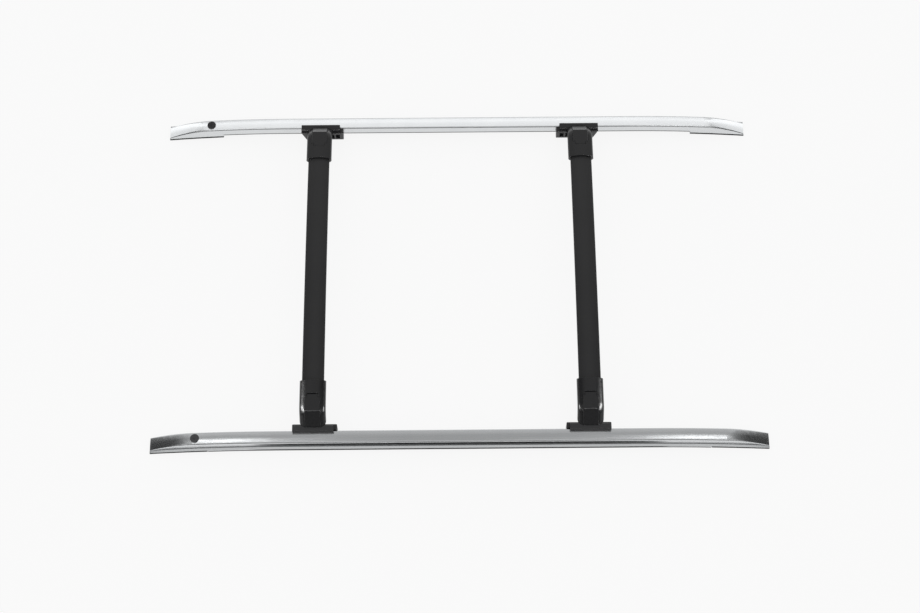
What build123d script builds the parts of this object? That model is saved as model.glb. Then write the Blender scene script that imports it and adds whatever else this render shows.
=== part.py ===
from build123d import *
import math
import os

# Roof rails with two clamp-on crossbars, in millimetres.
# X runs along the rails with the front at -X, Y runs across the roof with the left rail at -Y,
# and Z rises from the lowest edge of the rails' end pads.

# Rails: formed aluminium sections that follow the roof and dip to a nose at each end
RAIL_SPACING = 1094.0
RAIL_LENGTH = 1900.0
RAIL_STRAIGHT = 1140.0
RAIL_DROP = 24.0
RAIL_WIDTH = 41.0
RAIL_HEIGHT = 42.0
RAIL_CROWN = 1.5
RAIL_SHOULDER = 6.0
RAIL_WALL = 3.5
FLANGE_REACH = 6.5
FLANGE_EDGE = 5.0
FLANGE_ROOT = 8.5
NOSE_LENGTH = 138.0
NOSE_HEIGHT = 9.0
NOSE_SHOULDER = 2.5
NOSE_CROWN = 1.0
NOSE_FLANGE_EDGE = 3.5
NOSE_FLANGE_ROOT = 5.5
NOSE_POWER = 1.8
NOSE_STEPS = 6
CAVITY_OVERRUN = 10.0

# Clamp channel under the inner side of each rail
CHANNEL_INSET = 179.0
CHANNEL_DEPTH = 8.5
CHANNEL_HEIGHT = 14.0

# Rubber between rail and roof
GASKET_THICK = 4.0
GASKET_LIP = 0.6
PAD_THICK = 3.5
PAD_GAP = 1.5
PAD_SETBACK = 4.0
PAD_INSET = 1.0

# Access plug at the front end, with the stud hole below it
PLUG_INSET = 145.0
PLUG_RADIUS = 14.0
PLUG_HEAD = 2.4
PLUG_EDGE = 1.2
PLUG_STEM_RADIUS = 11.0
PLUG_STEM_DEPTH = 9.0
PLUG_STEM_WALL = 1.8
PLUG_SLOT_LENGTH = 13.0
PLUG_SLOT_WIDTH = 2.4
PLUG_SLOT_DEPTH = 1.0
STUD_HOLE_RADIUS = 4.5

# Threaded inserts along the rail's base
INSERT_INSET = 50.0
INSERT_INNER = 180.0
INSERT_OFFSET = -5.0
INSERT_RADIUS = 4.5
INSERT_LENGTH = 13.0
INSERT_FLANGE_RADIUS = 6.5
INSERT_FLANGE_THICK = 1.2
THREAD_RADIUS = 2.5

# Crossbars: oval extrusions, slightly crowned over the roof
FRONT_BAR_X = -447.0
REAR_BAR_X = 400.0
BAR_WIDTH = 68.0
BAR_THICK = 27.0
BAR_EDGE_RADIUS = 6.5
BAR_WALL = 2.5
BAR_WEB_PLACE = 13.0
BAR_TILT = 3.0
BAR_LEVEL = 86.0
BAR_INSERT = 42.0

# Foot: a moulded elbow from the bar's sleeve down to the clamp
SLEEVE_WALL = 6.5
SLEEVE_MOUTH = 163.0
LEG_ANGLE = 47.4
LEG_TOE = 19.0
TOE_FLAT = 6.0
ELBOW_RADIUS = 30.0

# Clamp saddle with its rubber pad on the rail's inner shoulder
SADDLE_LENGTH = 126.0
SADDLE_GRIP = 8.5
SADDLE_REACH = 12.5
SADDLE_THICK = 9.7
SADDLE_BEVEL = 2.5
SADDLE_PAD_THICK = 1.5
STEM_WIDTH = 72.0
STEM_REACH = 42.0

# Clamp jaw that hooks into the rail's channel
JAW_LEAD = 64.0
JAW_TAIL = 73.0
JAW_RAKE = 14.0
JAW_DEPTH = 18.5
JAW_FLOOR = 2.0
JAW_BEVEL = 2.0
TONGUE_FLOOR = 4.5
TONGUE_LEAD = 46.0
TONGUE_TAIL = 66.0
JAW_POCKET_PLACES = (-37.0, -19.0, 19.0, 37.0, 55.0)
JAW_POCKET_WIDTH = 13.0
JAW_POCKET_HEIGHT = 25.0
JAW_POCKET_DEPTH = 9.0

# Clamp bolt and square nut
BOLT_OFFSET = 31.5
BOLT_RADIUS = 3.0
BOLT_HEAD_RADIUS = 5.0
BOLT_HEAD_HEIGHT = 6.0
BOLT_SEAT_DEPTH = 7.5
BOLT_KEY = 5.0
BOLT_KEY_DEPTH = 3.0
BOLT_END = 4.0
NUT_WIDTH = 10.0
NUT_THICK = 5.0
NUT_LEVEL = 8.0

# Hinged cover over the bolt
COVER_WIDTH = 50.0
COVER_RISE = 17.0
COVER_BEVEL = 2.0
EAR_WIDTH = 34.0
EAR_LENGTH = 8.0
EAR_GAP = 1.0
COVER_THICK = 3.0
COVER_HINGE_REACH = 45.0
COVER_LEG = 48.0
COVER_CREASE_RADIUS = 3.5
KNUCKLE_RADIUS = 2.5
TRUNNION_RADIUS = 1.5
TRUNNION_LENGTH = 3.0
HINGE_RELIEF = 3.6
POCKET_WIDTH = 26.0
POCKET_NEAR = 29.0
POCKET_FAR = 60.0

# Screws that hold the foot to the bar and the saddle to the foot
SCREW_RADIUS = 2.5
SCREW_HEAD_RADIUS = 4.5
SCREW_HEAD_HEIGHT = 2.8
SCREW_LENGTH = 12.0
BAR_SCREW_INSET = 21.0
BAR_SCREW_SPREAD = 32.0
SADDLE_SCREW_PLACE = 54.0
SADDLE_SCREW_SPREAD = 50.0

# Clearances
RUN_CLEARANCE = 0.3
SIDE_CLEARANCE = 0.6
WALL_CLEARANCE = 0.8
HOLE_CLEARANCE = 0.1

# Places that follow from the sizes above
RAIL_Y = -RAIL_SPACING / 2
RAIL_HALF = RAIL_WIDTH / 2
BEND_START = RAIL_STRAIGHT / 2
TIP_X = RAIL_LENGTH / 2
BEND_RADIUS = ((TIP_X - BEND_START) ** 2 + RAIL_DROP**2) / (2 * RAIL_DROP)
NOSE_START = TIP_X - NOSE_LENGTH
PAD_END_ANGLE = math.asin((TIP_X - PAD_SETBACK - BEND_START) / BEND_RADIUS)
BASE_Z = BEND_RADIUS - (BEND_RADIUS - PAD_THICK) * math.cos(PAD_END_ANGLE)
PLUG_X = -(TIP_X - PLUG_INSET)
PLUG_SEAT = RAIL_HEIGHT + RAIL_CROWN
CAVITY_END = TIP_X - PLUG_INSET + PLUG_RADIUS + CAVITY_OVERRUN
CHANNEL_END = TIP_X - CHANNEL_INSET
CHANNEL_WALL = RAIL_HALF - CHANNEL_DEPTH
INSERT_OUTER = BEND_START - INSERT_INSET
INSERT_PLACES = (-INSERT_OUTER, -INSERT_INNER, INSERT_INNER, INSERT_OUTER)
CROWN_HALF = RAIL_HALF - RAIL_SHOULDER
GRIP_START = RAIL_HALF - SADDLE_GRIP
GRIP_RISE = RAIL_CROWN * (1 - (GRIP_START / CROWN_HALF) ** 2)
GRIP_LEVEL = RAIL_HEIGHT + GRIP_RISE + RUN_CLEARANCE
SADDLE_FLOOR = GRIP_LEVEL + SADDLE_PAD_THICK
SADDLE_TOP = SADDLE_FLOOR + SADDLE_THICK
JAW_TOP = SADDLE_FLOOR - RUN_CLEARANCE
JAW_NEAR = RAIL_HALF + WALL_CLEARANCE
BOLT_SEAT = SADDLE_TOP - BOLT_SEAT_DEPTH
SLEEVE_HALF = BAR_THICK / 2 + SLEEVE_WALL


def rail_frame(x):
    """Plane on the rail's base curve at x: local X along the rail, local Z square to it."""
    overrun = max(abs(x) - BEND_START, 0)
    angle = math.copysign(math.asin(overrun / BEND_RADIUS), x)
    start = math.copysign(min(abs(x), BEND_START), x)
    sine, cosine = math.sin(angle), math.cos(angle)
    origin = (start + BEND_RADIUS * sine, RAIL_Y, BASE_Z - BEND_RADIUS * (1 - cosine))
    return Plane(origin, x_dir=(cosine, 0, -sine), z_dir=(sine, 0, cosine))


def section_plane(x):
    """Plane square to the rail at x: local X towards the roof's middle, local Y up."""
    frame = rail_frame(x)
    return Plane(frame.origin, x_dir=(0, 1, 0), z_dir=frame.x_dir)


def bend_arc(x_from, x_to):
    """Degrees of the end bend between two places on it."""
    angles = [math.asin((x - BEND_START) / BEND_RADIUS) for x in (x_from, x_to)]
    return math.degrees(angles[1] - angles[0])


BEND_AXIS = Axis((BEND_START, RAIL_Y, BASE_Z - BEND_RADIUS), (0, 1, 0))


def rail_section(x, run=0.0):
    """The rail's outer section at x, with run going from 0 at the nose's start to 1 at its tip."""
    blend = run**NOSE_POWER
    height = RAIL_HEIGHT + (NOSE_HEIGHT - RAIL_HEIGHT) * blend
    shoulder = RAIL_SHOULDER + (NOSE_SHOULDER - RAIL_SHOULDER) * blend
    crown_rise = RAIL_CROWN + (NOSE_CROWN - RAIL_CROWN) * blend
    edge = FLANGE_EDGE + (NOSE_FLANGE_EDGE - FLANGE_EDGE) * blend
    root = FLANGE_ROOT + (NOSE_FLANGE_ROOT - FLANGE_ROOT) * blend
    lip = -RAIL_HALF - FLANGE_REACH
    wall_top = height - shoulder
    with BuildSketch(section_plane(x)) as outline:
        with BuildLine():
            flange = Polyline((RAIL_HALF, 0), (lip, 0), (lip, edge), (-RAIL_HALF, root))
            wall = Line(flange @ 1, (-RAIL_HALF, wall_top))
            turn = TangentArc(wall @ 1, (-RAIL_HALF + shoulder, height), tangent=(0, 1))
            crown = ThreePointArc(turn @ 1, (0, height + crown_rise), (RAIL_HALF - shoulder, height))
            inner = TangentArc(crown @ 1, (RAIL_HALF, wall_top), tangent=(1, 0))
            Line(inner @ 1, (RAIL_HALF, 0))
        make_face()
    return outline.sketch


def channel_section(x):
    """The undercut that the jaw hooks into, open below and on the inner side."""
    with BuildSketch(section_plane(x)) as outline:
        with Locations((CHANNEL_WALL, CHANNEL_HEIGHT)):
            Rectangle(2 * CHANNEL_DEPTH, 2 * CHANNEL_HEIGHT, align=(Align.MIN, Align.MAX))
    return outline.sketch


def cavity_section(x):
    """The hollow of the extrusion, one wall inside the section and its channel."""
    near = -RAIL_HALF + RAIL_WALL
    far = RAIL_HALF - RAIL_WALL
    step = CHANNEL_WALL - RAIL_WALL
    ledge = CHANNEL_HEIGHT + RAIL_WALL
    roof = RAIL_HEIGHT - RAIL_WALL
    with BuildSketch(section_plane(x)) as outline:
        with BuildLine():
            floor = Polyline((near, roof), (near, RAIL_WALL), (step, RAIL_WALL), (step, ledge))
            Polyline(floor @ 1, (far, ledge), (far, roof), (near, roof))
        make_face()
        fillet(outline.vertices().sort_by(Axis.Y)[-2:], RAIL_SHOULDER - RAIL_WALL / 2)
    return outline.sketch


def strip_section(x, near, far, thick):
    """A flat strip of rubber under the rail's base."""
    with BuildSketch(section_plane(x)) as outline:
        with Locations((near, 0)):
            Rectangle(far - near, thick, align=(Align.MIN, Align.MAX))
    return outline.sketch


# Left rail: straight middle, bent ends, lofted noses
with BuildPart() as left_rail:
    extrude(rail_section(0), amount=BEND_START)
    revolve(rail_section(BEND_START), axis=BEND_AXIS, revolution_arc=bend_arc(BEND_START, NOSE_START))
    nose_runs = [step / NOSE_STEPS for step in range(NOSE_STEPS + 1)]
    loft([rail_section(NOSE_START + NOSE_LENGTH * run, run) for run in nose_runs])
    for section, end in ((channel_section, CHANNEL_END), (cavity_section, CAVITY_END)):
        arc = bend_arc(BEND_START, end)
        extrude(section(0), amount=BEND_START, mode=Mode.SUBTRACT)
        revolve(section(BEND_START), axis=BEND_AXIS, revolution_arc=arc, mode=Mode.SUBTRACT)
    mirror(about=Plane.YZ)
    with BuildSketch(rail_frame(PLUG_X).offset(PLUG_SEAT)):
        Circle(PLUG_STEM_RADIUS + HOLE_CLEARANCE)
    extrude(amount=-(PLUG_SEAT - RAIL_WALL - HOLE_CLEARANCE), mode=Mode.SUBTRACT)
    with BuildSketch(rail_frame(PLUG_X).offset(-HOLE_CLEARANCE)):
        Circle(STUD_HOLE_RADIUS)
    extrude(amount=RAIL_WALL + 2 * HOLE_CLEARANCE, mode=Mode.SUBTRACT)
    with BuildSketch(rail_frame(0)):
        with Locations([(place, INSERT_OFFSET) for place in INSERT_PLACES]):
            Circle(INSERT_RADIUS + HOLE_CLEARANCE)
    extrude(amount=RAIL_WALL + HOLE_CLEARANCE, mode=Mode.SUBTRACT)

# Gasket along the channel's length, with a hole round each insert
GASKET_NEAR = -RAIL_HALF - FLANGE_REACH - GASKET_LIP
GASKET_FAR = CHANNEL_WALL + GASKET_LIP
with BuildPart() as left_gasket:
    extrude(strip_section(0, GASKET_NEAR, GASKET_FAR, GASKET_THICK), amount=BEND_START)
    revolve(
        strip_section(BEND_START, GASKET_NEAR, GASKET_FAR, GASKET_THICK),
        axis=BEND_AXIS,
        revolution_arc=bend_arc(BEND_START, CHANNEL_END),
    )
    mirror(about=Plane.YZ)
    with BuildSketch(rail_frame(0)):
        with Locations([(place, INSERT_OFFSET) for place in INSERT_PLACES]):
            Circle(INSERT_FLANGE_RADIUS + SIDE_CLEARANCE)
    extrude(amount=-GASKET_THICK, mode=Mode.SUBTRACT)

# Pad under the rear nose, and the same pad under the front one with the stud's hole
PAD_START = CHANNEL_END + PAD_GAP
PAD_NEAR = -RAIL_HALF - FLANGE_REACH + PAD_INSET
PAD_FAR = RAIL_HALF - PAD_INSET
with BuildPart() as left_rear_pad:
    revolve(
        strip_section(PAD_START, PAD_NEAR, PAD_FAR, PAD_THICK),
        axis=BEND_AXIS,
        revolution_arc=bend_arc(PAD_START, TIP_X - PAD_SETBACK),
    )
with BuildPart() as left_front_pad:
    add(mirror(left_rear_pad.part, about=Plane.YZ, mode=Mode.PRIVATE))
    with BuildSketch(rail_frame(PLUG_X)):
        Circle(STUD_HOLE_RADIUS + SIDE_CLEARANCE)
    extrude(amount=-PAD_THICK - HOLE_CLEARANCE, mode=Mode.SUBTRACT)

# Press-in plug with a moulded cross slot
with BuildPart() as left_plug:
    with BuildSketch(rail_frame(PLUG_X).offset(PLUG_SEAT)):
        Circle(PLUG_RADIUS)
    extrude(amount=PLUG_HEAD)
    fillet(left_plug.edges().filter_by(GeomType.CIRCLE).sort_by(Axis.Z)[-1], PLUG_EDGE)
    with BuildSketch(rail_frame(PLUG_X).offset(PLUG_SEAT)):
        Circle(PLUG_STEM_RADIUS)
        Circle(PLUG_STEM_RADIUS - PLUG_STEM_WALL, mode=Mode.SUBTRACT)
    extrude(amount=-PLUG_STEM_DEPTH)
    with BuildSketch(rail_frame(PLUG_X).offset(PLUG_SEAT + PLUG_HEAD)):
        Rectangle(PLUG_SLOT_LENGTH, PLUG_SLOT_WIDTH)
        Rectangle(PLUG_SLOT_WIDTH, PLUG_SLOT_LENGTH)
    extrude(amount=-PLUG_SLOT_DEPTH, mode=Mode.SUBTRACT)

# Blind-rivet threaded inserts, flanges against the base
with BuildPart() as left_inserts:
    with BuildSketch(rail_frame(0)):
        with Locations([(place, INSERT_OFFSET) for place in INSERT_PLACES]):
            Circle(INSERT_RADIUS)
    extrude(amount=INSERT_LENGTH)
    with BuildSketch(rail_frame(0)):
        with Locations([(place, INSERT_OFFSET) for place in INSERT_PLACES]):
            Circle(INSERT_FLANGE_RADIUS)
    extrude(amount=-INSERT_FLANGE_THICK)
    with BuildSketch(rail_frame(0).offset(-INSERT_FLANGE_THICK)):
        with Locations([(place, INSERT_OFFSET) for place in INSERT_PLACES]):
            Circle(THREAD_RADIUS)
    extrude(amount=INSERT_FLANGE_THICK + INSERT_LENGTH, mode=Mode.SUBTRACT)

# Side view of the left foot: local X inward from the rail's centre, local Y up from its base
FOOT_PLANE = Plane((0, RAIL_Y, BASE_Z), x_dir=(0, 1, 0), z_dir=(1, 0, 0))
TILT = math.radians(BAR_TILT)
LEG = math.radians(LEG_ANGLE)
BAR_RUN = Vector(math.cos(TILT), math.sin(TILT))
BAR_UP = Vector(-math.sin(TILT), math.cos(TILT))
LEG_RUN = Vector(math.cos(LEG), math.sin(LEG))
LEG_OUT = Vector(-math.sin(LEG), math.cos(LEG))
MOUTH = Vector(SLEEVE_MOUTH, BAR_LEVEL)
LEG_FOOT = Vector(LEG_TOE, SADDLE_TOP) - LEG_OUT * SLEEVE_HALF
MITRE = (BAR_UP + LEG_OUT) * (1 / (1 + BAR_UP.dot(LEG_OUT)))
ELBOW_REACH = (MOUTH - LEG_FOOT).cross(LEG_RUN).Z / BAR_RUN.cross(LEG_RUN).Z
ELBOW = MOUTH - BAR_RUN * ELBOW_REACH


def on_bar(reach, rise):
    """Side-view point along the bar's line, reach inward of the elbow and rise above it."""
    return tuple(ELBOW + BAR_RUN * reach + BAR_UP * rise)[:2]


def on_leg(drop, rise):
    """Side-view point along the leg's line, drop below the elbow and rise out from it."""
    return tuple(ELBOW - LEG_RUN * drop + LEG_OUT * rise)[:2]


def at_crease(rise):
    """Side-view point where the bar's and the leg's lines meet, both rise away from the middle."""
    return tuple(ELBOW + MITRE * rise)[:2]


def side_point(point):
    """Place in space of a side-view point on the foot's middle plane."""
    return (0, RAIL_Y + point[0], BASE_Z + point[1])


def bar_plane(reach, rise=0.0):
    """Plane square to the bar's end run: local X along the rails, local Y up, facing out to the rail."""
    return Plane(side_point(on_bar(reach, rise)), x_dir=(1, 0, 0), z_dir=(0, -BAR_RUN.X, -BAR_RUN.Y))


def oval(grow=0.0):
    """The crossbar's oval, four tangent arcs, grown or shrunk all round."""
    width, height, edge = BAR_WIDTH / 2, BAR_THICK / 2, BAR_EDGE_RADIUS
    crown = ((width - edge) ** 2 + height**2 - edge**2) / (2 * (height - edge))
    lean = math.atan2(width - edge, crown - height)
    side = (crown + grow) * math.sin(lean)
    level = height - crown + (crown + grow) * math.cos(lean)
    with BuildSketch() as outline:
        with BuildLine():
            ThreePointArc((-side, level), (0, height + grow), (side, level))
            ThreePointArc((side, level), (width + grow, 0), (side, -level))
            ThreePointArc((side, -level), (0, -height - grow), (-side, -level))
            ThreePointArc((-side, -level), (-width - grow, 0), (-side, level))
        make_face()
    return outline.sketch


def screw_head_plane(reach, x):
    """Seat of a bar screw's head under the sleeve, facing up into the bar."""
    seat = side_point(on_bar(reach, -SLEEVE_HALF + SCREW_HEAD_HEIGHT))
    return Plane((x, seat[1], seat[2]), x_dir=(1, 0, 0), z_dir=(0, BAR_UP.X, BAR_UP.Y))


def saddle_screw_plane(x):
    """Seat of a saddle screw's head in the saddle's underside, facing up into the foot."""
    seat = side_point((SADDLE_SCREW_PLACE, SADDLE_FLOOR + SCREW_HEAD_HEIGHT))
    return Plane((x, seat[1], seat[2]), x_dir=(1, 0, 0), z_dir=(0, 0, 1))


BAR_SCREW_REACH = ELBOW_REACH - BAR_SCREW_INSET
BAR_SEATS = [screw_head_plane(BAR_SCREW_REACH, x) for x in (-BAR_SCREW_SPREAD / 2, BAR_SCREW_SPREAD / 2)]
SADDLE_SEATS = [saddle_screw_plane(x) for x in (-SADDLE_SCREW_SPREAD / 2, SADDLE_SCREW_SPREAD / 2)]
HINGE_RISE = COVER_RISE - KNUCKLE_RADIUS
HINGE_POINT = on_bar(COVER_HINGE_REACH, HINGE_RISE)

# Foot: swept elbow, cut off on the saddle, with the bar's socket, the cover's recess and the bolt's pocket
with BuildPart() as foot:
    with BuildLine(FOOT_PLANE) as spine:
        FilletPolyline(tuple(MOUTH)[:2], tuple(ELBOW)[:2], on_leg(2 * SADDLE_TOP, 0), radius=ELBOW_RADIUS)
    with BuildSketch(bar_plane(ELBOW_REACH)):
        add(oval(SLEEVE_WALL))
    sweep(path=spine.line)
    with BuildSketch(FOOT_PLANE):
        with Locations((0, SADDLE_TOP)):
            Rectangle(4 * SLEEVE_MOUTH, 4 * SADDLE_TOP, align=(Align.CENTER, Align.MAX))
        with Locations((LEG_TOE + TOE_FLAT, SADDLE_TOP)):
            Rectangle(SLEEVE_MOUTH, SLEEVE_MOUTH, align=(Align.MAX, Align.CENTER))
    extrude(amount=BAR_WIDTH, both=True, mode=Mode.SUBTRACT)
    with BuildSketch(bar_plane(ELBOW_REACH)):
        add(oval(RUN_CLEARANCE))
    extrude(amount=BAR_INSERT + RUN_CLEARANCE, mode=Mode.SUBTRACT)
    seat_rise = COVER_RISE - COVER_THICK - RUN_CLEARANCE
    hinge_end = COVER_HINGE_REACH + HINGE_RELIEF
    for width, start in ((EAR_WIDTH, hinge_end), (COVER_WIDTH, COVER_HINGE_REACH - EAR_LENGTH)):
        with BuildSketch(FOOT_PLANE):
            with BuildLine():
                Polyline(
                    on_bar(start, seat_rise),
                    at_crease(seat_rise),
                    on_leg(COVER_LEG + SIDE_CLEARANCE, seat_rise),
                    on_leg(COVER_LEG + SIDE_CLEARANCE, 2 * SLEEVE_HALF),
                    at_crease(2 * SLEEVE_HALF),
                    on_bar(start, 2 * SLEEVE_HALF),
                    close=True,
                )
            make_face()
        extrude(amount=width / 2 + SIDE_CLEARANCE, both=True, mode=Mode.SUBTRACT)
    with BuildSketch(FOOT_PLANE):
        with BuildLine():
            knuckle_floor = HINGE_RISE - KNUCKLE_RADIUS - RUN_CLEARANCE
            Polyline(
                on_bar(hinge_end, seat_rise),
                on_bar(hinge_end, knuckle_floor),
                on_bar(COVER_HINGE_REACH - HINGE_RELIEF, knuckle_floor),
                on_bar(COVER_HINGE_REACH - HINGE_RELIEF, seat_rise),
                close=True,
            )
        make_face()
    extrude(amount=EAR_WIDTH / 2 + SIDE_CLEARANCE, both=True, mode=Mode.SUBTRACT)
    with BuildSketch(FOOT_PLANE):
        with Locations(HINGE_POINT):
            Circle(TRUNNION_RADIUS + HOLE_CLEARANCE)
    extrude(amount=EAR_WIDTH / 2 + TRUNNION_LENGTH + RUN_CLEARANCE, both=True, mode=Mode.SUBTRACT)
    with BuildSketch(FOOT_PLANE):
        with BuildLine():
            Polyline(
                (POCKET_NEAR, SADDLE_TOP),
                (POCKET_FAR, SADDLE_TOP),
                (POCKET_FAR, BAR_LEVEL),
                at_crease(seat_rise),
                on_leg(COVER_LEG, seat_rise),
                close=True,
            )
        make_face()
    extrude(amount=POCKET_WIDTH / 2, both=True, mode=Mode.SUBTRACT)
    for seat in BAR_SEATS:
        with BuildSketch(seat):
            Circle(SCREW_RADIUS + HOLE_CLEARANCE)
        extrude(amount=SCREW_LENGTH, mode=Mode.SUBTRACT)
        with BuildSketch(seat):
            Circle(SCREW_HEAD_RADIUS + HOLE_CLEARANCE)
        extrude(amount=-SLEEVE_WALL, mode=Mode.SUBTRACT)
    for seat in SADDLE_SEATS:
        with BuildSketch(seat):
            Circle(SCREW_RADIUS + HOLE_CLEARANCE)
        extrude(amount=SCREW_LENGTH + RUN_CLEARANCE, mode=Mode.SUBTRACT)

# Saddle: a T of cast metal, wings on the rail's inner shoulder and a stem under the foot
with BuildPart() as saddle:
    with BuildSketch(FOOT_PLANE):
        with Locations((GRIP_START, SADDLE_FLOOR)):
            Rectangle(SADDLE_GRIP + SADDLE_REACH, SADDLE_THICK, align=(Align.MIN, Align.MIN))
    extrude(amount=SADDLE_LENGTH / 2, both=True)
    chamfer(saddle.edges().filter_by(Axis.X).group_by(Axis.Z)[-1], SADDLE_BEVEL)
    with BuildSketch(FOOT_PLANE):
        with Locations((RAIL_HALF, SADDLE_FLOOR)):
            Rectangle(STEM_REACH, SADDLE_THICK, align=(Align.MIN, Align.MIN))
    extrude(amount=STEM_WIDTH / 2, both=True)
    fillet(saddle.edges().filter_by(Axis.Z).group_by(Axis.X)[0], SADDLE_BEVEL)
    fillet(saddle.edges().filter_by(Axis.Z).group_by(Axis.X)[-1], SADDLE_BEVEL)
    with BuildSketch(Plane(side_point((BOLT_OFFSET, SADDLE_TOP)))):
        Circle(BOLT_HEAD_RADIUS + SIDE_CLEARANCE)
    extrude(amount=-BOLT_SEAT_DEPTH, mode=Mode.SUBTRACT)
    with BuildSketch(Plane(side_point((BOLT_OFFSET, SADDLE_TOP)))):
        Circle(BOLT_RADIUS + RUN_CLEARANCE)
    extrude(amount=-SADDLE_THICK, mode=Mode.SUBTRACT)
    for seat in SADDLE_SEATS:
        with BuildSketch(seat):
            Circle(SCREW_RADIUS + HOLE_CLEARANCE)
        extrude(amount=SADDLE_THICK, mode=Mode.SUBTRACT)
        with BuildSketch(seat):
            Circle(SCREW_HEAD_RADIUS + HOLE_CLEARANCE)
        extrude(amount=-SCREW_HEAD_HEIGHT, mode=Mode.SUBTRACT)

# Rubber pad between the saddle and the rail's shoulder, thicker where the shoulder falls away
with BuildPart() as saddle_pad:
    flat_end = CROWN_HALF
    turn = (RAIL_SHOULDER + RUN_CLEARANCE) * math.sin(math.pi / 4)
    drop_end = (flat_end + turn, RAIL_HEIGHT - RAIL_SHOULDER + turn)
    with BuildSketch(FOOT_PLANE):
        with BuildLine():
            Polyline(
                drop_end,
                (drop_end[0], SADDLE_FLOOR),
                (GRIP_START, SADDLE_FLOOR),
                (GRIP_START, GRIP_LEVEL),
                (flat_end, GRIP_LEVEL),
            )
            TangentArc((flat_end, GRIP_LEVEL), drop_end, tangent=(1, 0))
        make_face()
    extrude(amount=SADDLE_LENGTH / 2 - SADDLE_BEVEL, both=True)

# Jaw: a ribbed block with one raked end, a tongue in the rail's channel and a seat for the nut
JAW_PLANE = Plane(side_point((JAW_NEAR, 0)), x_dir=(1, 0, 0), z_dir=(0, -1, 0))
with BuildPart() as jaw:
    with BuildSketch(JAW_PLANE):
        with BuildLine():
            Polyline(
                (-JAW_LEAD, JAW_TOP),
                (JAW_RAKE - JAW_LEAD, JAW_FLOOR),
                (JAW_TAIL, JAW_FLOOR),
                (JAW_TAIL, JAW_TOP),
                close=True,
            )
        make_face()
    extrude(amount=-JAW_DEPTH)
    chamfer(jaw.faces().sort_by(Axis.Y)[-1].edges(), JAW_BEVEL)
    with BuildSketch(FOOT_PLANE.offset(-TONGUE_LEAD)):
        with Locations((CHANNEL_WALL + WALL_CLEARANCE, TONGUE_FLOOR)):
            Rectangle(
                JAW_NEAR - CHANNEL_WALL - WALL_CLEARANCE + JAW_BEVEL,
                CHANNEL_HEIGHT - RUN_CLEARANCE - TONGUE_FLOOR,
                align=(Align.MIN, Align.MIN),
            )
    extrude(amount=TONGUE_LEAD + TONGUE_TAIL)
    with BuildSketch(JAW_PLANE.offset(-JAW_DEPTH)):
        with Locations([(place, (JAW_TOP + JAW_FLOOR) / 2) for place in JAW_POCKET_PLACES]):
            RectangleRounded(JAW_POCKET_WIDTH, JAW_POCKET_HEIGHT, JAW_BEVEL)
    extrude(amount=JAW_POCKET_DEPTH, mode=Mode.SUBTRACT)
    with BuildSketch(Plane(side_point((BOLT_OFFSET, JAW_TOP)))):
        Circle(BOLT_RADIUS + RUN_CLEARANCE)
    extrude(amount=-(JAW_TOP - JAW_FLOOR), mode=Mode.SUBTRACT)
    with BuildSketch(Plane(side_point((BOLT_OFFSET, JAW_FLOOR)))):
        Rectangle(NUT_WIDTH + 2 * HOLE_CLEARANCE, NUT_WIDTH + 2 * HOLE_CLEARANCE)
    extrude(amount=NUT_LEVEL + NUT_THICK - JAW_FLOOR + HOLE_CLEARANCE, mode=Mode.SUBTRACT)

# Socket-head clamp bolt
with BuildPart() as bolt:
    with BuildSketch(Plane(side_point((BOLT_OFFSET, BOLT_SEAT)))):
        Circle(BOLT_HEAD_RADIUS)
    extrude(amount=BOLT_HEAD_HEIGHT)
    with BuildSketch(Plane(side_point((BOLT_OFFSET, BOLT_SEAT)))):
        Circle(BOLT_RADIUS)
    extrude(amount=-(BOLT_SEAT - BOLT_END))
    with BuildSketch(Plane(side_point((BOLT_OFFSET, BOLT_SEAT + BOLT_HEAD_HEIGHT)))):
        RegularPolygon(BOLT_KEY / 2, 6, major_radius=False)
    extrude(amount=-BOLT_KEY_DEPTH, mode=Mode.SUBTRACT)

# Square nut held in the jaw
with BuildPart() as nut:
    with BuildSketch(Plane(side_point((BOLT_OFFSET, NUT_LEVEL)))):
        Rectangle(NUT_WIDTH, NUT_WIDTH)
        Circle(BOLT_RADIUS + HOLE_CLEARANCE, mode=Mode.SUBTRACT)
    extrude(amount=NUT_THICK)

# Cover: one creased strip, bevelled along its sides, with narrow ears on two trunnions
with BuildPart() as cover:
    under = COVER_RISE - COVER_THICK
    shoulder_reach = COVER_HINGE_REACH - EAR_LENGTH - EAR_GAP
    with BuildSketch(FOOT_PLANE):
        with BuildLine():
            Polyline(
                on_bar(shoulder_reach, COVER_RISE),
                at_crease(COVER_RISE),
                on_leg(COVER_LEG, COVER_RISE),
                on_leg(COVER_LEG, under),
                at_crease(under),
                on_bar(shoulder_reach, under),
                close=True,
            )
        make_face()
    extrude(amount=COVER_WIDTH / 2, both=True)
    crease = side_point(at_crease(COVER_RISE))
    fillet(cover.edges().filter_by(Axis.X).sort_by_distance(crease)[0], COVER_CREASE_RADIUS)
    top = cover.faces().filter_by(lambda face: face.normal_at().Z > 0.5)
    rims = [edge for face in top for edge in face.edges() if abs(edge.center().X) > EAR_WIDTH / 2]
    chamfer(rims, COVER_BEVEL)
    with BuildSketch(FOOT_PLANE):
        with BuildLine():
            Polyline(
                on_bar(COVER_HINGE_REACH, COVER_RISE),
                on_bar(shoulder_reach - EAR_GAP, COVER_RISE),
                on_bar(shoulder_reach - EAR_GAP, under),
                on_bar(COVER_HINGE_REACH, under),
                close=True,
            )
        make_face()
        with Locations(HINGE_POINT):
            Circle(KNUCKLE_RADIUS)
    extrude(amount=EAR_WIDTH / 2, both=True)
    with BuildSketch(FOOT_PLANE):
        with Locations(HINGE_POINT):
            Circle(TRUNNION_RADIUS)
    extrude(amount=EAR_WIDTH / 2 + TRUNNION_LENGTH, both=True)

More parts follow.
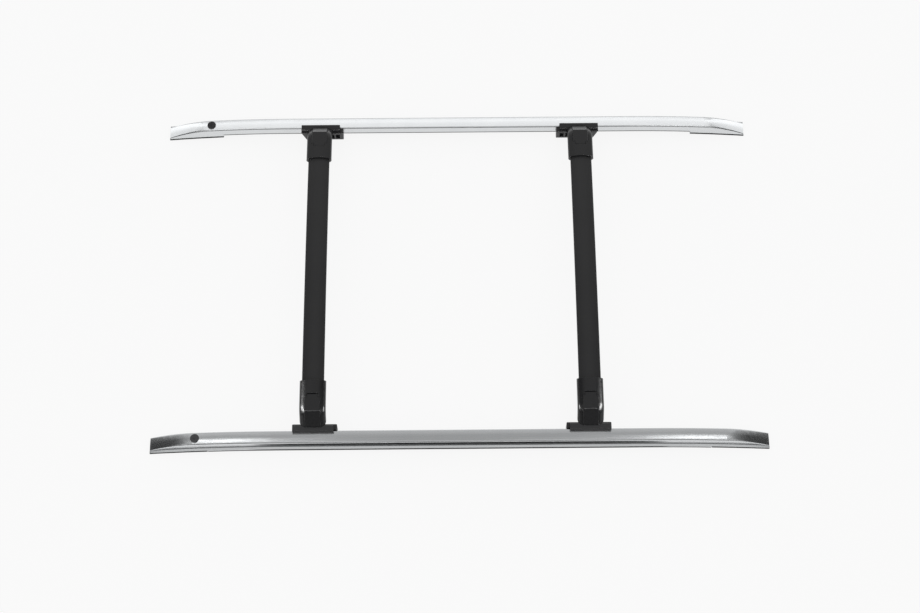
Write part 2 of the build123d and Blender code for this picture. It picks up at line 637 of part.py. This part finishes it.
# Four pan-head screws: two up into the bar, two up through the saddle
with BuildPart() as screws:
    for seat in BAR_SEATS + SADDLE_SEATS:
        with BuildSketch(seat):
            Circle(SCREW_RADIUS)
        extrude(amount=SCREW_LENGTH)
        with BuildSketch(seat):
            Circle(SCREW_HEAD_RADIUS)
        extrude(amount=-SCREW_HEAD_HEIGHT)

# Crossbar at X = 0: a hollow oval, straight in the feet's sockets and crowned between them
MOUTH_Y, MOUTH_Z = side_point(on_bar(ELBOW_REACH, 0))[1:]
CROWN_RADIUS = -MOUTH_Y / math.sin(TILT)
CROWN_AXIS = Axis((0, 0, MOUTH_Z - CROWN_RADIUS * math.cos(TILT)), (-1, 0, 0))
with BuildSketch() as bar_cells:
    add(oval(-BAR_WALL))
    with Locations((-BAR_WEB_PLACE, 0), (BAR_WEB_PLACE, 0)):
        Rectangle(BAR_WALL, BAR_THICK, mode=Mode.SUBTRACT)
with BuildSketch(bar_plane(ELBOW_REACH)) as bar_profile:
    add(oval())
    add(bar_cells.sketch, mode=Mode.SUBTRACT)
with BuildPart() as crossbar:
    extrude(bar_profile.sketch, amount=BAR_INSERT)
    revolve(bar_profile.sketch, axis=CROWN_AXIS, revolution_arc=BAR_TILT)
    for seat in BAR_SEATS:
        with BuildSketch(seat):
            Circle(SCREW_RADIUS + HOLE_CLEARANCE)
        extrude(amount=SCREW_LENGTH, mode=Mode.SUBTRACT)
    mirror(about=Plane.XZ)

# Every piece in its place, written out under its own name
os.makedirs("parts", exist_ok=True)


def write(piece, name):
    piece.label = name
    export_step(piece, f"parts/{name}.step")


RAIL_PIECES = {
    "rail": left_rail,
    "rail_gasket": left_gasket,
    "rail_front_pad": left_front_pad,
    "rail_rear_pad": left_rear_pad,
    "rail_plug": left_plug,
    "rail_inserts": left_inserts,
}
FOOT_PIECES = {
    "foot": foot,
    "saddle": saddle,
    "saddle_pad": saddle_pad,
    "jaw": jaw,
    "clamp_bolt": bolt,
    "clamp_nut": nut,
    "cover": cover,
    "foot_screws": screws,
}
for name, piece in RAIL_PIECES.items():
    write(piece.part, f"left_{name}")
    write(mirror(piece.part, about=Plane.XZ), f"right_{name}")
for end, bar_x in (("front", FRONT_BAR_X), ("rear", REAR_BAR_X)):
    write(Pos(bar_x, 0, 0) * crossbar.part, f"{end}_crossbar")
    for name, piece in FOOT_PIECES.items():
        turned = piece.part if end == "front" else mirror(piece.part, about=Plane.YZ)
        write(Pos(bar_x, 0, 0) * turned, f"{end}_left_{name}")
        write(Pos(bar_x, 0, 0) * mirror(turned, about=Plane.XZ), f"{end}_right_{name}")
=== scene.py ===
import math

import bmesh
import bpy
from mathutils import Matrix, Vector


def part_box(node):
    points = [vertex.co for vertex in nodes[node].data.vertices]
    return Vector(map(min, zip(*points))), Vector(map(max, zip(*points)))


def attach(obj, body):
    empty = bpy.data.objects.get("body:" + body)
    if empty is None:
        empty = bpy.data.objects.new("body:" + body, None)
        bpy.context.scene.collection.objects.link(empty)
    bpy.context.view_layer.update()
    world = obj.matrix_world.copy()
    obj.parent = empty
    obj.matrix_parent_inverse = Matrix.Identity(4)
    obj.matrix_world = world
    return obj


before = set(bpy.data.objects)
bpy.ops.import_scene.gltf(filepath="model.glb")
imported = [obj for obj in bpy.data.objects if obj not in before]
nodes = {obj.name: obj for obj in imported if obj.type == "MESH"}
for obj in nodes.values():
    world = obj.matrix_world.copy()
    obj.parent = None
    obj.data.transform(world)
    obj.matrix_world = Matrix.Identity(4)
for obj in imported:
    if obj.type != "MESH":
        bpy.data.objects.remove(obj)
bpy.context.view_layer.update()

# Rails: hollow aluminium extrusions, bent at the ends, formed to a nose and anodised in natural
# silver. They are the fixed base, held to the roof by inserts and a stud below each plug.


def linear(code):
    """Linear colour, with alpha, of an sRGB hex code."""
    parts = [int(code[place : place + 2], 16) / 255 for place in (0, 2, 4)]
    return [part / 12.92 if part <= 0.04045 else ((part + 0.055) / 1.055) ** 2.4 for part in parts] + [1.0]


def new_finish(name):
    """An empty material with its surface node and its output."""
    finish = bpy.data.materials.new(name)
    finish.use_nodes = True
    return finish, finish.node_tree.nodes["Principled BSDF"]


def put(tree, kind, sockets=(), **settings):
    """One node in a tree: its settings, and each input socket as a value or as a link."""
    made = tree.nodes.new(kind)
    for name, value in settings.items():
        setattr(made, name, value)
    for name, value in dict(sockets).items():
        if isinstance(value, bpy.types.NodeSocket):
            tree.links.new(value, made.inputs[name])
        else:
            made.inputs[name].default_value = value
    return made


def dress(finish, *names):
    """Gives a finish to CAD pieces."""
    for name in names:
        nodes[name].data.materials.clear()
        nodes[name].data.materials.append(finish)


# Anodised aluminium, drawn through a die and satin etched: a soft metallic sheen with faint lines
# along the rail. The die lines are about 0.3 mm apart and are drawn 1.5 mm apart, to show.
anodised, surface = new_finish("anodised_aluminium")
tree = anodised.node_tree
place = put(tree, "ShaderNodeTexCoord").outputs["Object"]
along = put(tree, "ShaderNodeMapping", {"Vector": place, "Scale": (3.0, 660.0, 660.0)}).outputs["Vector"]
die_lines = put(tree, "ShaderNodeTexNoise", {"Vector": along, "Scale": 1.0, "Detail": 2.0, "Roughness": 0.55})
cloud = put(tree, "ShaderNodeTexNoise", {"Vector": place, "Scale": 14.0, "Detail": 3.0})
tone = put(tree, "ShaderNodeValToRGB", {"Fac": cloud.outputs["Fac"]})
tone.color_ramp.elements[0].color = linear("d4d6d8")
tone.color_ramp.elements[1].color = linear("dddfe0")
satin = put(
    tree,
    "ShaderNodeMapRange",
    {"Value": die_lines.outputs["Fac"], "From Min": 0.3, "From Max": 0.7, "To Min": 0.2, "To Max": 0.3},
)
ridges = put(
    tree,
    "ShaderNodeBump",
    {"Height": die_lines.outputs["Fac"], "Strength": 0.012, "Distance": 0.0002},
)
surface.inputs["Metallic"].default_value = 1.0
tree.links.new(tone.outputs["Color"], surface.inputs["Base Color"])
tree.links.new(satin.outputs["Result"], surface.inputs["Roughness"])
tree.links.new(ridges.outputs["Normal"], surface.inputs["Normal"])
dress(anodised, "left_rail", "right_rail")

# Gaskets and pads: moulded EPDM rubber strips between each rail and the roof, glued under the base
# and under the noses. The same rubber lines the saddles.

# EPDM rubber from a mould: nearly black, dull, with a fine pitted grain of about 0.9 mm.
rubber, surface = new_finish("moulded_rubber")
tree = rubber.node_tree
place = put(tree, "ShaderNodeTexCoord").outputs["Object"]
grain = put(tree, "ShaderNodeTexNoise", {"Vector": place, "Scale": 1100.0, "Detail": 3.0})
bloom = put(tree, "ShaderNodeTexNoise", {"Vector": place, "Scale": 40.0, "Detail": 2.0})
tone = put(tree, "ShaderNodeValToRGB", {"Fac": bloom.outputs["Fac"]})
tone.color_ramp.elements[0].color = linear("1a1a1b")
tone.color_ramp.elements[1].color = linear("232324")
pits = put(tree, "ShaderNodeBump", {"Height": grain.outputs["Fac"], "Strength": 0.3, "Distance": 0.0002})
surface.inputs["Roughness"].default_value = 0.72
surface.inputs["IOR"].default_value = 1.5
tree.links.new(tone.outputs["Color"], surface.inputs["Base Color"])
tree.links.new(pits.outputs["Normal"], surface.inputs["Normal"])
corners = ("front_left", "front_right", "rear_left", "rear_right")
strips = [f"{side}_rail_{piece}" for side in ("left", "right") for piece in ("gasket", "front_pad", "rear_pad")]
dress(rubber, *strips, *(f"{corner}_saddle_pad" for corner in corners))

# Pad lips: the upturned rim of each end pad, moulded in one with it, which closes the joint round the
# base of the nose.
LIP_THICK = 0.0012
LIP_RISE = 0.0032
LIP_DROP = 0.0028
LIP_CHAMFER = 0.0008
LIP_ROUNDING = 0.0003


def pad_lip(side, end):
    """A rim along the inner side, the tip and the outer side of one nose's base."""
    pad = nodes[f"{side}_rail_{end}_pad"]
    low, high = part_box(f"{side}_rail")
    edge = min(point.co.y for point in pad.data.vertices)
    shown = [point.co for point in pad.data.vertices if point.co.y < edge + 0.0001]
    row = sorted({(round(co.x, 5), round(co.z, 5)) for co in shown}, key=lambda place: -abs(place[0]))
    base = row[0::2]
    tip = low[0] if end == "front" else high[0]
    slope = (base[1][1] - base[0][1]) / (base[1][0] - base[0][0])
    base.insert(0, (tip, base[0][1] + slope * (tip - base[0][0])))
    out = -1.0 if end == "front" else 1.0
    path = [(x, low[1], z, 0.0, -1.0) for x, z in reversed(base)]
    path += [(x, high[1], z, 0.0, 1.0) for x, z in base]
    corner = len(base) - 1
    for place in (corner, corner + 1):
        x, y, z, away_x, away_y = path[place]
        path[place] = (x, y, z, out, away_y)
    points = []
    for x, y, z, away_x, away_y in path:
        far = (x + away_x * LIP_THICK, y + away_y * LIP_THICK)
        points.append((x, y, z - LIP_DROP))
        points.append((*far, z - LIP_DROP + LIP_CHAMFER))
        points.append((*far, z + LIP_RISE - LIP_CHAMFER))
        points.append((x, y, z + LIP_RISE))
    faces = [[3, 2, 1, 0], [len(points) - 4, len(points) - 3, len(points) - 2, len(points) - 1]]
    for start in range(0, len(points) - 4, 4):
        for turn in range(4):
            after = (turn + 1) % 4
            faces.append([start + turn, start + after, start + 4 + after, start + 4 + turn])
    mesh = bpy.data.meshes.new(f"{side}_{end}_pad_lip")
    mesh.from_pydata(points, [], faces)
    lip = bpy.data.objects.new(mesh.name, mesh)
    bpy.context.scene.collection.objects.link(lip)
    work = bmesh.new()
    work.from_mesh(mesh)
    bmesh.ops.recalc_face_normals(work, faces=work.faces)
    work.to_mesh(mesh)
    work.free()
    round_off = lip.modifiers.new("rounded", "BEVEL")
    round_off.width = LIP_ROUNDING
    round_off.segments = 2
    mesh.materials.append(rubber)
    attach(lip, "rails")


for side in ("left", "right"):
    for end in ("front", "rear"):
        pad_lip(side, end)

# Plugs: soft moulded caps pressed into the round hole over each front stud, with a cross slot.

# Smooth thermoplastic rubber: black with a low, even sheen and a trace of dust in its grain.
plug_rubber, surface = new_finish("smooth_plug_rubber")
tree = plug_rubber.node_tree
place = put(tree, "ShaderNodeTexCoord").outputs["Object"]
grain = put(tree, "ShaderNodeTexNoise", {"Vector": place, "Scale": 900.0, "Detail": 2.0})
tone = put(tree, "ShaderNodeValToRGB", {"Fac": grain.outputs["Fac"]})
tone.color_ramp.elements[0].color = linear("161617")
tone.color_ramp.elements[1].color = linear("222224")
pits = put(tree, "ShaderNodeBump", {"Height": grain.outputs["Fac"], "Strength": 0.15, "Distance": 0.0002})
surface.inputs["Roughness"].default_value = 0.32
tree.links.new(tone.outputs["Color"], surface.inputs["Base Color"])
tree.links.new(pits.outputs["Normal"], surface.inputs["Normal"])
dress(plug_rubber, "left_rail_plug", "right_rail_plug")

# Inserts, bolts, nuts and screws: cold-formed steel, zinc plated and passivated clear.

# Zinc plate: a cool grey metal, slightly clouded, with turning marks too fine to see here.
zinc, surface = new_finish("zinc_plated_steel")
tree = zinc.node_tree
place = put(tree, "ShaderNodeTexCoord").outputs["Object"]
cloud = put(tree, "ShaderNodeTexNoise", {"Vector": place, "Scale": 350.0, "Detail": 3.0})
tone = put(tree, "ShaderNodeValToRGB", {"Fac": cloud.outputs["Fac"]})
tone.color_ramp.elements[0].color = linear("9a9c9e")
tone.color_ramp.elements[1].color = linear("bcbdbd")
satin = put(tree, "ShaderNodeMapRange", {"Value": cloud.outputs["Fac"], "To Min": 0.25, "To Max": 0.45})
surface.inputs["Metallic"].default_value = 1.0
tree.links.new(tone.outputs["Color"], surface.inputs["Base Color"])
tree.links.new(satin.outputs["Result"], surface.inputs["Roughness"])
fasteners = [f"{corner}_{piece}" for corner in corners for piece in ("clamp_bolt", "clamp_nut", "foot_screws")]
dress(zinc, "left_rail_inserts", "right_rail_inserts", *fasteners)

# Crossbars: hollow oval aluminium extrusions, slightly crowned, powder coated black and held in the
# feet by screws from below.

# Satin powder coat: black with the slight orange peel of the melted powder, about 1.6 mm across.
powder_coat, surface = new_finish("black_powder_coat")
tree = powder_coat.node_tree
place = put(tree, "ShaderNodeTexCoord").outputs["Object"]
peel = put(tree, "ShaderNodeTexNoise", {"Vector": place, "Scale": 620.0, "Detail": 2.0})
cloud = put(tree, "ShaderNodeTexNoise", {"Vector": place, "Scale": 9.0, "Detail": 3.0})
tone = put(tree, "ShaderNodeValToRGB", {"Fac": cloud.outputs["Fac"]})
tone.color_ramp.elements[0].color = linear("272728")
tone.color_ramp.elements[1].color = linear("2e2e2f")
ripple = put(tree, "ShaderNodeBump", {"Height": peel.outputs["Fac"], "Strength": 0.22, "Distance": 0.0003})
surface.inputs["Roughness"].default_value = 0.5
surface.inputs["IOR"].default_value = 1.5
tree.links.new(tone.outputs["Color"], surface.inputs["Base Color"])
tree.links.new(ripple.outputs["Normal"], surface.inputs["Normal"])
dress(powder_coat, "front_crossbar", "rear_crossbar")

# Feet and covers: injection-moulded nylon elbows over the bar's ends, each with a hinged cover over
# its clamp bolt. Two screws hold the foot to the bar.

# Glass-filled nylon from a polished mould: black and semi-gloss, with a barely uneven skin.
nylon, surface = new_finish("polished_black_nylon")
tree = nylon.node_tree
place = put(tree, "ShaderNodeTexCoord").outputs["Object"]
skin = put(tree, "ShaderNodeTexNoise", {"Vector": place, "Scale": 260.0, "Detail": 3.0})
tone = put(tree, "ShaderNodeValToRGB", {"Fac": skin.outputs["Fac"]})
tone.color_ramp.elements[0].color = linear("0e0e0f")
tone.color_ramp.elements[1].color = linear("141415")
gloss = put(tree, "ShaderNodeMapRange", {"Value": skin.outputs["Fac"], "To Min": 0.2, "To Max": 0.3})
edge = put(tree, "ShaderNodeBevel", {"Radius": 0.0016}, samples=6)
wave = put(
    tree,
    "ShaderNodeBump",
    {"Height": skin.outputs["Fac"], "Strength": 0.05, "Distance": 0.0003, "Normal": edge.outputs["Normal"]},
)
surface.inputs["IOR"].default_value = 1.53
tree.links.new(tone.outputs["Color"], surface.inputs["Base Color"])
tree.links.new(gloss.outputs["Result"], surface.inputs["Roughness"])
tree.links.new(wave.outputs["Normal"], surface.inputs["Normal"])
dress(nylon, *(f"{corner}_{piece}" for corner in corners for piece in ("foot", "cover")))

# Saddles and jaws: die castings with a black dip coat. The saddle sits on the rail's inner shoulder
# under the foot, and the bolt draws the jaw up against the rail's channel.

# Dip-coated casting: black and dull, with the fine grain of the die, about 0.8 mm.
casting, surface = new_finish("black_coated_casting")
tree = casting.node_tree
place = put(tree, "ShaderNodeTexCoord").outputs["Object"]
grain = put(tree, "ShaderNodeTexNoise", {"Vector": place, "Scale": 1250.0, "Detail": 3.0})
tone = put(tree, "ShaderNodeValToRGB", {"Fac": grain.outputs["Fac"]})
tone.color_ramp.elements[0].color = linear("131314")
tone.color_ramp.elements[1].color = linear("1d1d1e")
edge = put(tree, "ShaderNodeBevel", {"Radius": 0.001}, samples=4)
pits = put(
    tree,
    "ShaderNodeBump",
    {"Height": grain.outputs["Fac"], "Strength": 0.2, "Distance": 0.0003, "Normal": edge.outputs["Normal"]},
)
surface.inputs["Roughness"].default_value = 0.42
tree.links.new(tone.outputs["Color"], surface.inputs["Base Color"])
tree.links.new(pits.outputs["Normal"], surface.inputs["Normal"])
dress(casting, *(f"{corner}_{piece}" for corner in corners for piece in ("saddle", "jaw")))

# Floor: a plain white sweep that the set lies on, as in a product studio.
bpy.ops.mesh.primitive_plane_add(size=30.0, location=(0.0, 0.0, -0.0005))
floor = bpy.context.object
floor.name = "floor"

# White paper: even and matt. Seen directly or in a reflection it is nearly pure white.
paper, surface = new_finish("white_paper")
tree = paper.node_tree
surface.inputs["Base Color"].default_value = linear("f4f4f4")
surface.inputs["Roughness"].default_value = 0.9
surface.inputs["Specular IOR Level"].default_value = 0.0
ray = put(tree, "ShaderNodeLightPath").outputs
seen = put(tree, "ShaderNodeMath", {0: ray["Is Camera Ray"], 1: ray["Is Glossy Ray"]}, operation="MAXIMUM")
seen = put(tree, "ShaderNodeMath", {0: seen.outputs[0], 1: ray["Is Transmission Ray"]}, operation="MAXIMUM")
share = put(tree, "ShaderNodeMath", {0: seen.outputs[0], 1: 0.88}, operation="MULTIPLY")
white = put(tree, "ShaderNodeEmission", {"Color": (1.0, 1.0, 1.0, 1.0), "Strength": 1.0})
both = put(tree, "ShaderNodeMixShader", {0: share.outputs[0], 1: surface.outputs[0], 2: white.outputs[0]})
tree.links.new(both.outputs[0], tree.nodes["Material Output"].inputs["Surface"])
floor.data.materials.append(paper)

# Studio: a grey room, dark at its ends, that is seen only in reflections. The camera sees white, and
# matt surfaces get an even light.
PLAIN_LIGHT = 0.66
ROOM_LEVELS = (
    (0.0, 0.1),
    (0.125, 0.3),
    (0.2, 0.8),
    (0.35, 0.7),
    (0.45, 0.4),
    (0.67, 0.4),
    (0.74, 0.45),
    (0.8, 0.65),
)
world = bpy.data.worlds.new("studio")
bpy.context.scene.world = world
world.use_nodes = True
tree = world.node_tree
tree.nodes.clear()
direction = put(tree, "ShaderNodeTexCoord").outputs["Generated"]
axis = put(tree, "ShaderNodeSeparateXYZ", {"Vector": direction})
depth = put(tree, "ShaderNodeMapRange", {"Value": axis.outputs["Y"], "From Min": -1.0, "From Max": 1.0})
room = put(tree, "ShaderNodeValToRGB", {"Fac": depth.outputs["Result"]})
room.color_ramp.elements.remove(room.color_ramp.elements[1])
for number, (at, level) in enumerate(ROOM_LEVELS):
    stop = room.color_ramp.elements[0] if number == 0 else room.color_ramp.elements.new(at)
    stop.position = at
    stop.color = (level, level, level, 1.0)
across = put(tree, "ShaderNodeMath", {0: axis.outputs["X"]}, operation="ABSOLUTE")
ends = put(
    tree,
    "ShaderNodeMapRange",
    {"Value": across.outputs[0], "From Min": 0.42, "From Max": 0.62, "To Min": 1.0, "To Max": 0.1},
)
back = put(tree, "ShaderNodeMapRange", {"Value": axis.outputs["Y"], "From Min": 0.43, "From Max": 0.52})
walls = put(tree, "ShaderNodeMath", {0: ends.outputs["Result"], 1: back.outputs["Result"]}, operation="MAXIMUM")
studio = put(
    tree,
    "ShaderNodeMix",
    {0: 1.0, 6: room.outputs["Color"], 7: walls.outputs[0]},
    data_type="RGBA",
    blend_type="MULTIPLY",
)
ray = put(tree, "ShaderNodeLightPath").outputs
plain = put(
    tree,
    "ShaderNodeMix",
    {0: ray["Is Glossy Ray"], 6: (PLAIN_LIGHT, PLAIN_LIGHT, PLAIN_LIGHT, 1.0), 7: studio.outputs[2]},
    data_type="RGBA",
)
sky = put(
    tree,
    "ShaderNodeMix",
    {0: ray["Is Camera Ray"], 6: plain.outputs[2], 7: (1.0, 1.0, 1.0, 1.0)},
    data_type="RGBA",
)
light = put(tree, "ShaderNodeBackground", {"Color": sky.outputs[2], "Strength": 1.0})
put(tree, "ShaderNodeOutputWorld", {"Surface": light.outputs["Background"]})


# Lamps: softboxes over the rails, and strips and a key light for the black pieces, each linked to the
# pieces that it lights. They give the rails' white patches and the gloss on the feet.


def softbox(name, at, aim, width, height, power, lit):
    """A soft rectangular lamp for some of the pieces, which the camera doesn't see."""
    lamp = bpy.data.lights.new(name, "AREA")
    lamp.shape = "RECTANGLE"
    lamp.size = width
    lamp.size_y = height
    lamp.energy = power
    holder = bpy.data.objects.new(name, lamp)
    holder.location = at
    holder.rotation_euler = (Vector(aim) - Vector(at)).to_track_quat("-Z", "Y").to_euler()
    holder.visible_camera = False
    group = bpy.data.collections.new(f"{name}_lights")
    for piece in lit:
        group.objects.link(nodes[piece])
    holder.light_linking.receiver_collection = group
    bpy.context.scene.collection.objects.link(holder)


rails = ("left_rail", "right_rail")
black_pieces = [name for name in nodes if name not in rails and "crossbar" not in name]
far_rail = ("right_rail",)
for name, side in (("left", -1.0), ("right", 1.0)):
    softbox(f"{name}_softbox", (side * 1.3, -0.35, 2.55), (side * 0.7, -0.55, 0.0), 0.5, 0.7, 2.4, rails)
    softbox(f"{name}_strip", (side * 1.66, -0.68, 0.97), (side * 0.44, -0.47, 0.1), 1.15, 0.24, 28.0, black_pieces)
    softbox(f"{name}_panel", (side * 2.0, 1.15, 0.75), (side * 0.85, 0.55, 0.0), 1.3, 1.3, 5.0, far_rail)
softbox("key_light", (0.0, -2.05, 2.1), (0.0, -0.5, 0.1), 2.9, 0.14, 26.0, black_pieces)
softbox("back_softbox", (0.0, 1.95, 2.5), (0.0, 1.95, 0.0), 4.4, 2.6, 27.0, far_rail)

# Flag: a narrow black studio card on the floor beside the near rail, thin at its ends and seen only
# in reflections. It draws the dark line along the rail's wall.
FLAG_HALF = 0.66
FLAG_EDGE = -0.58
FLAG_DEPTH = 0.07
FLAG_STEPS = 24
FLAG_LEVEL = 0.002
bow = [FLAG_HALF * (2 * step / FLAG_STEPS - 1) for step in range(FLAG_STEPS + 1)]
rim = [(x, FLAG_EDGE - FLAG_DEPTH * (1 - (x / FLAG_HALF) ** 2), FLAG_LEVEL) for x in bow]
card_mesh = bpy.data.meshes.new("flag")
card_mesh.from_pydata(rim, [], [list(range(len(rim)))])
flag = bpy.data.objects.new("flag", card_mesh)
bpy.context.scene.collection.objects.link(flag)
flag.visible_camera = False
flag.visible_diffuse = False
flag.visible_shadow = False
card, surface = new_finish("black_card")
surface.inputs["Base Color"].default_value = linear("101010")
surface.inputs["Roughness"].default_value = 0.9
flag.data.materials.append(card)

# Camera: above the near side, looking down on the set as the photograph does.
FOCAL_PIXELS = 1784.9
IMAGE_WIDTH = 920
SENSOR_WIDTH = 36.0
CAMERA_PLACE = (-0.008, -2.3958, 5.1969)
CAMERA_HEIGHT_ANGLE = 66.045
CAMERA_TURN = -0.323
CAMERA_ROLL = -0.175
lens = bpy.data.cameras.new("camera")
lens.sensor_fit = "HORIZONTAL"
lens.sensor_width = SENSOR_WIDTH
lens.lens = SENSOR_WIDTH * FOCAL_PIXELS / IMAGE_WIDTH
lens.clip_end = 100.0
camera = bpy.data.objects.new("camera", lens)
bpy.context.scene.collection.objects.link(camera)
turn = Matrix.Rotation(math.radians(CAMERA_TURN), 4, "Z")
tilt = Matrix.Rotation(math.radians(90.0 - CAMERA_HEIGHT_ANGLE), 4, "X")
roll = Matrix.Rotation(math.radians(CAMERA_ROLL), 4, "Z")
camera.matrix_world = Matrix.Translation(CAMERA_PLACE) @ turn @ tilt @ roll
bpy.context.scene.camera = camera
bpy.context.scene.view_settings.view_transform = "Standard"
